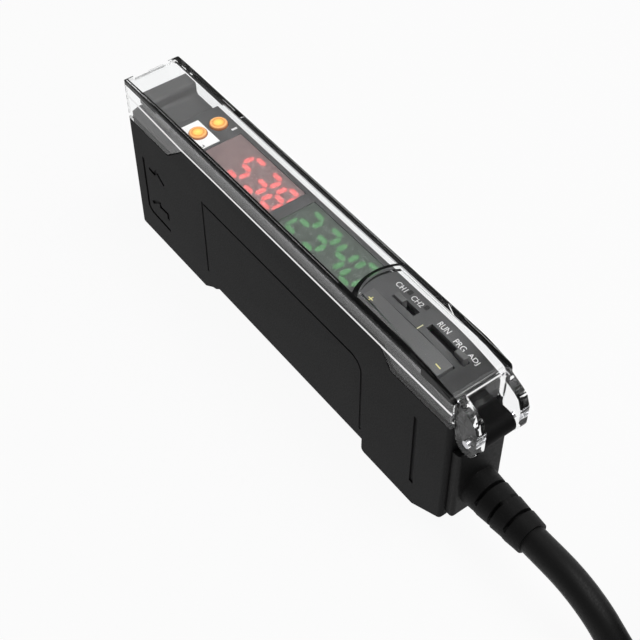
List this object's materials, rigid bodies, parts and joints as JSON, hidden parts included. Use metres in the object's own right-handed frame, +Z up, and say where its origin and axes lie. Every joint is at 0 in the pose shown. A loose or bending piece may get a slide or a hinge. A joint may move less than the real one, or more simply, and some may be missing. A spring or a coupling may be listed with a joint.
{
  "type": "fibre optic sensor amplifier",
  "caption": "Slim rail-mounted fibre optic sensor amplifier with a clear flip-up cover, digit displays, rocker button, slide switches, fibre clamp lever and moulded cable.",
  "frame": {"origin": "on the ground under the middle of the object's box, measured without its cable", "axes": "+X from the fibre ports to the cable, +Y across the width to the hidden side, +Z up from the feet"},
  "size_m": [0.2031, 0.0419, 0.0311],
  "materials": {
    "case_plastic": "finely textured black moulding",
    "clear_plastic": "clear polished polycarbonate",
    "lever_plastic": "satin dark moulding",
    "black_plastic": "plain black moulding",
    "seal_rubber": "soft black rubber",
    "emitter_resin": "clear red resin",
    "board": "green solder mask",
    "ferrite": "grey ferrite",
    "capacitor_can": "plain can",
    "core_insulation": "coloured insulation",
    "deck_plastic": "satin grey film",
    "red_lens": "smoked red lens",
    "green_lens": "smoked green lens",
    "display_face": "dark reflector face",
    "red_light": "lit red light bars",
    "green_light": "lit green light bars",
    "amber_lamp": "amber lens",
    "white_label": "white film",
    "button_plastic": "satin grey moulding",
    "steel": "plain steel",
    "boot_pvc": "satin black soft moulding",
    "cable_pvc": "satin black jacket",
    "tie_nylon": "natural nylon"
  },
  "bodies": {
    "case": {"case_body": "case_plastic", "side_cover": "case_plastic", "hinge_pin": "steel", "clamp_pin": "steel", "fibre_block": "black_plastic", "port_gasket": "seal_rubber", "emitter_led": "emitter_resin", "receiver_diode": "black_plastic", "main_board": "board", "display_board": "board", "board_header": "black_plastic", "microcontroller": "black_plastic", "power_inductor": "ferrite", "filter_capacitors": "capacitor_can", "output_transistors": "black_plastic", "cable_cores": "core_insulation", "display_deck": "deck_plastic", "red_window": "red_lens", "green_window": "green_lens", "red_display": "display_face", "green_display": "display_face", "red_segments": "red_light", "green_segments": "green_light", "output_lamp_1": "amber_lamp", "output_lamp_2": "amber_lamp", "lamp_label": "white_label", "rocker_bracket": "black_plastic", "tact_switches": "steel", "channel_switch_body": "steel", "mode_switch_body": "steel", "latch_spring": "steel", "cable_boot": "boot_pvc", "cable": "cable_pvc", "cable_hank": "cable_pvc", "hank_tie": "tie_nylon", "core_ends": "core_insulation"},
    "cover": {"dust_cover": "clear_plastic"},
    "lever": {"clamp_lever": "lever_plastic"},
    "jaw": {"clamp_jaw": "black_plastic"},
    "axle": {"rocker_axle": "steel"},
    "rocker": {"rocker_button": "button_plastic"},
    "channel_switch": {"channel_knob": "black_plastic"},
    "mode_switch": {"mode_knob": "black_plastic"},
    "latch": {"rail_latch": "lever_plastic"}
  },
  "joints": [
    {"name": "cover_hinge", "type": "hinge", "parent": "case", "child": "cover", "pos_m": [0.0354, 0, 0.0226], "axis": [0, 1, 0], "range_deg": [0, 120]},
    {"name": "lever_swing", "type": "hinge", "parent": "case", "child": "lever", "pos_m": [-0.0387, 0, 0.0205], "axis": [0, -1, 0], "range_deg": [0, 12.5]},
    {"name": "jaw_slide", "type": "slide", "parent": "case", "child": "jaw", "axis": [0, 0, 1], "range_m": [0, 0.00065]},
    {"name": "rocker_press", "type": "slide", "parent": "case", "child": "axle", "axis": [0, 0, 1], "range_m": [-0.0002, 0], "stiffness_N_per_m": 1000},
    {"name": "rocker_tilt", "type": "hinge", "parent": "axle", "child": "rocker", "pos_m": [0.0198, -0.00185, 0.0262], "axis": [0, 1, 0], "range_deg": [-2.5, 2.5], "stiffness_Nm_per_rad": 0.02},
    {"name": "channel_slide", "type": "slide", "parent": "case", "child": "channel_switch", "axis": [1, 0, 0], "range_m": [0, 0.0022]},
    {"name": "mode_slide", "type": "slide", "parent": "case", "child": "mode_switch", "axis": [1, 0, 0], "range_m": [-0.0053, 0]},
    {"name": "latch_slide", "type": "slide", "parent": "case", "child": "latch", "axis": [1, 0, 0], "range_m": [-0.002, 0], "stiffness_N_per_m": 500, "springref_m": 0.001, "deforming": ["latch_spring"]}
  ],
  "couplings": [
    {"joint": "lever_swing", "follows": "jaw_slide", "rad_per_m": 322}
  ]
}
